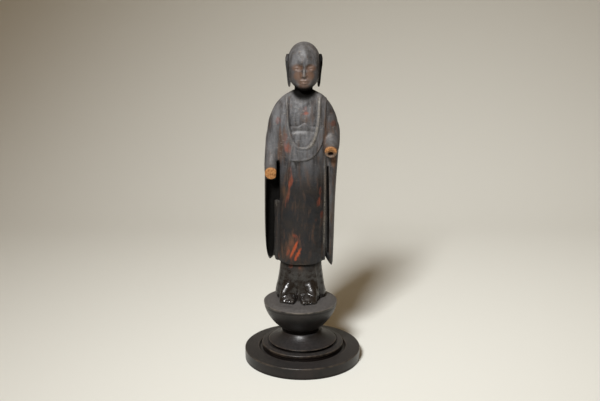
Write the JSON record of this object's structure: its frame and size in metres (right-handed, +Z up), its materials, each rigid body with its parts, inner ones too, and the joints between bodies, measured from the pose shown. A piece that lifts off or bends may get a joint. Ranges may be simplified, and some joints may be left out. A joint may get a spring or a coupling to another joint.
{
  "type": "jizo statue",
  "caption": "Carved and lacquered wooden standing Jizo, a robed monk-like figure with its hands lost, on a turned cup seat over a stepped round base.",
  "frame": {"origin": "centre of the underside of the base", "axes": "+Z up, the figure faces -Y, +X to the figure's left"},
  "size_m": [0.11, 0.11, 0.3002],
  "materials": {
    "worn_black_lacquer": "worn black lacquer over a red ground, dusty, with bare wood at the broken wrists",
    "dusty_brown_lacquer": "blackish-brown lacquer, greyed with dust on top, worn lighter along the rim",
    "dark_brown_lacquer": "satin blackish-brown lacquer, worn lighter along the turned edges"
  },
  "bodies": {
    "root": {"figure": "worn_black_lacquer", "lotus_cup": "dusty_brown_lacquer", "stepped_base": "dark_brown_lacquer"}
  },
  "joints": []
}
